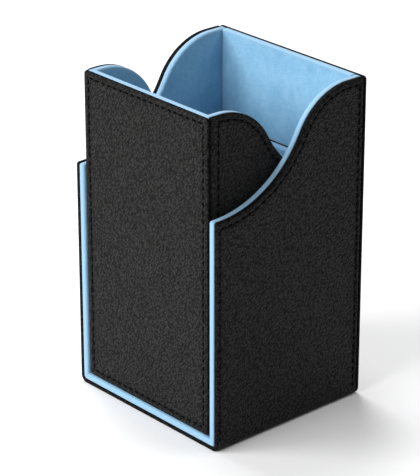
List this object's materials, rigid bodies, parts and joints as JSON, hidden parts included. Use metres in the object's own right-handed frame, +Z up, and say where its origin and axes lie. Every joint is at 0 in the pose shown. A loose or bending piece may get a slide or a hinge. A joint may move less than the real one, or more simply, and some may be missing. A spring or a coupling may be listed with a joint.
{
  "type": "playing card box with drawer",
  "caption": "Upright card deck box of leatherette-covered board: a U-shaped shell with S-curved sides and a tall back, and a lined open drawer that slides out of its front.",
  "frame": {"origin": "on the table, under the middle of the box's width and depth", "axes": "+X to the box's right seen from the front, +Y towards the tall back wall, +Z up; the drawer slides out along -Y"},
  "size_m": [0.088, 0.081, 0.1435],
  "materials": {
    "black_leatherette": "satin",
    "blue_microfibre": "matte",
    "greyboard": "matte",
    "hidden_steel": "satin"
  },
  "bodies": {
    "shell": {"shell_wrap": "black_leatherette", "shell_back_cover": "black_leatherette", "shell_left_board": "greyboard", "shell_right_board": "greyboard", "shell_back_board": "greyboard", "shell_floor_board": "greyboard", "shell_left_lining": "blue_microfibre", "shell_right_lining": "blue_microfibre", "shell_back_lining": "blue_microfibre", "shell_floor_lining": "blue_microfibre", "shell_magnets": "hidden_steel"},
    "drawer": {"drawer_front_cover": "black_leatherette", "drawer_wrap": "black_leatherette", "drawer_back_cover": "black_leatherette", "drawer_front_board": "greyboard", "drawer_left_board": "greyboard", "drawer_right_board": "greyboard", "drawer_back_board": "greyboard", "drawer_floor_board": "greyboard", "drawer_front_lining": "blue_microfibre", "drawer_left_lining": "blue_microfibre", "drawer_right_lining": "blue_microfibre", "drawer_back_lining": "blue_microfibre", "drawer_floor_lining": "blue_microfibre", "drawer_keepers": "hidden_steel"}
  },
  "joints": [
    {"name": "drawer_slide", "type": "slide", "parent": "shell", "child": "drawer", "axis": [0, -1, 0], "range_m": [0, 0.07]}
  ]
}
